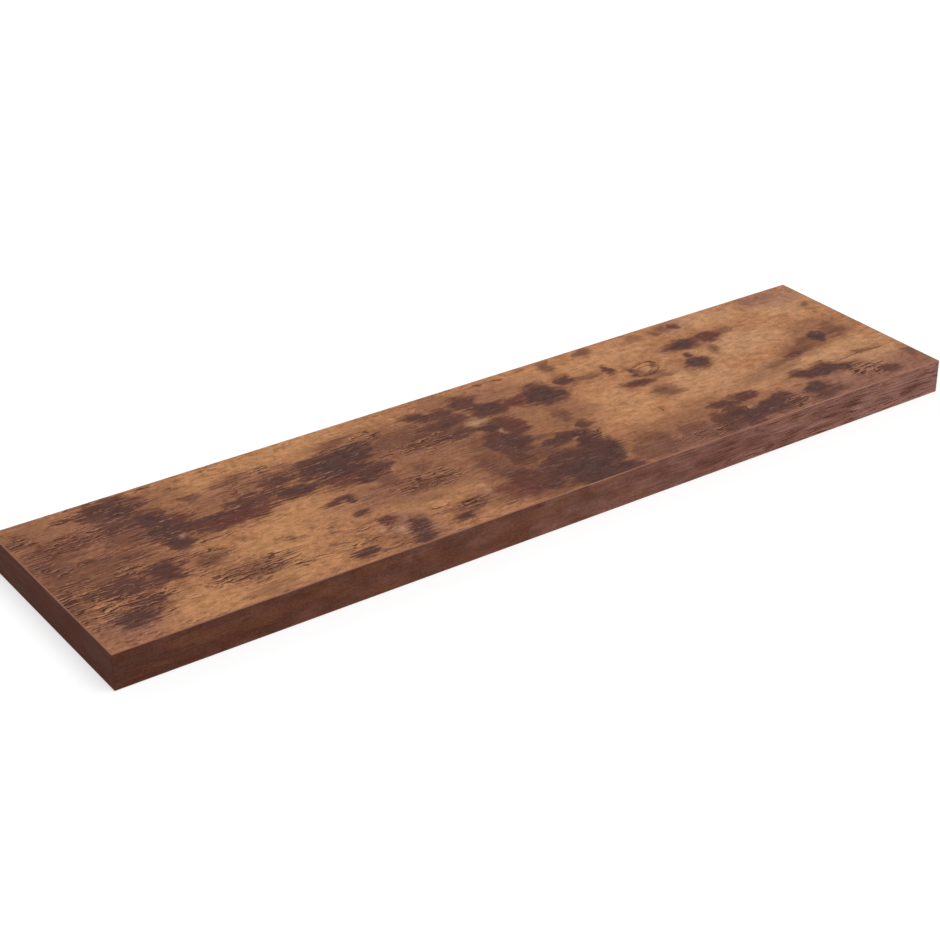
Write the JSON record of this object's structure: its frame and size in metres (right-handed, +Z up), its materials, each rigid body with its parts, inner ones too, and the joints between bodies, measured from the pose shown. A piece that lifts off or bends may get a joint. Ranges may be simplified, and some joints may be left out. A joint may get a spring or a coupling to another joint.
{
  "type": "floating wall shelf",
  "caption": "Straight hollow-core wall shelf board with rustic brown wood print, pushed onto a hidden steel rod bracket in its back.",
  "frame": {"origin": "middle of the underside, at the height of the surface the shelf lies on", "axes": "+X along the shelf's length, to the right as seen from the room; +Y towards the wall; +Z up"},
  "size_m": [0.8, 0.2, 0.03],
  "materials": {
    "decor_print": "satin",
    "band_print": "satin",
    "particleboard": "matte",
    "staple_wire": "satin",
    "honeycomb_paper": "matte",
    "bracket_steel": "satin",
    "weld_bead": "matte",
    "insert_brass": "satin",
    "screw_steel": "satin"
  },
  "bodies": {
    "bracket": {"wall_plate": "bracket_steel", "left_rod": "bracket_steel", "middle_rod": "bracket_steel", "right_rod": "bracket_steel", "rod_welds": "weld_bead"},
    "board": {"top_panel": "decor_print", "bottom_panel": "decor_print", "front_edge_band": "band_print", "left_edge_band": "band_print", "right_edge_band": "band_print", "front_rail": "particleboard", "back_rail": "particleboard", "left_end_rail": "particleboard", "right_end_rail": "particleboard", "left_cross_rail": "particleboard", "middle_cross_rail": "particleboard", "right_cross_rail": "particleboard", "frame_staples": "staple_wire", "honeycomb_bay_1": "honeycomb_paper", "honeycomb_bay_2": "honeycomb_paper", "honeycomb_bay_3": "honeycomb_paper", "honeycomb_bay_4": "honeycomb_paper", "left_lock_insert": "insert_brass", "right_lock_insert": "insert_brass"},
    "left_screw": {"left_lock_screw": "screw_steel"},
    "right_screw": {"right_lock_screw": "screw_steel"}
  },
  "joints": [
    {"name": "board_slide", "type": "slide", "parent": "bracket", "child": "board", "axis": [0, -1, 0], "range_m": [0, 0.16]},
    {"name": "left_lock_travel", "type": "slide", "parent": "board", "child": "left_screw", "axis": [0, 0, -1], "range_m": [0, 0.0025]},
    {"name": "right_lock_travel", "type": "slide", "parent": "board", "child": "right_screw", "axis": [0, 0, -1], "range_m": [0, 0.0025]}
  ]
}
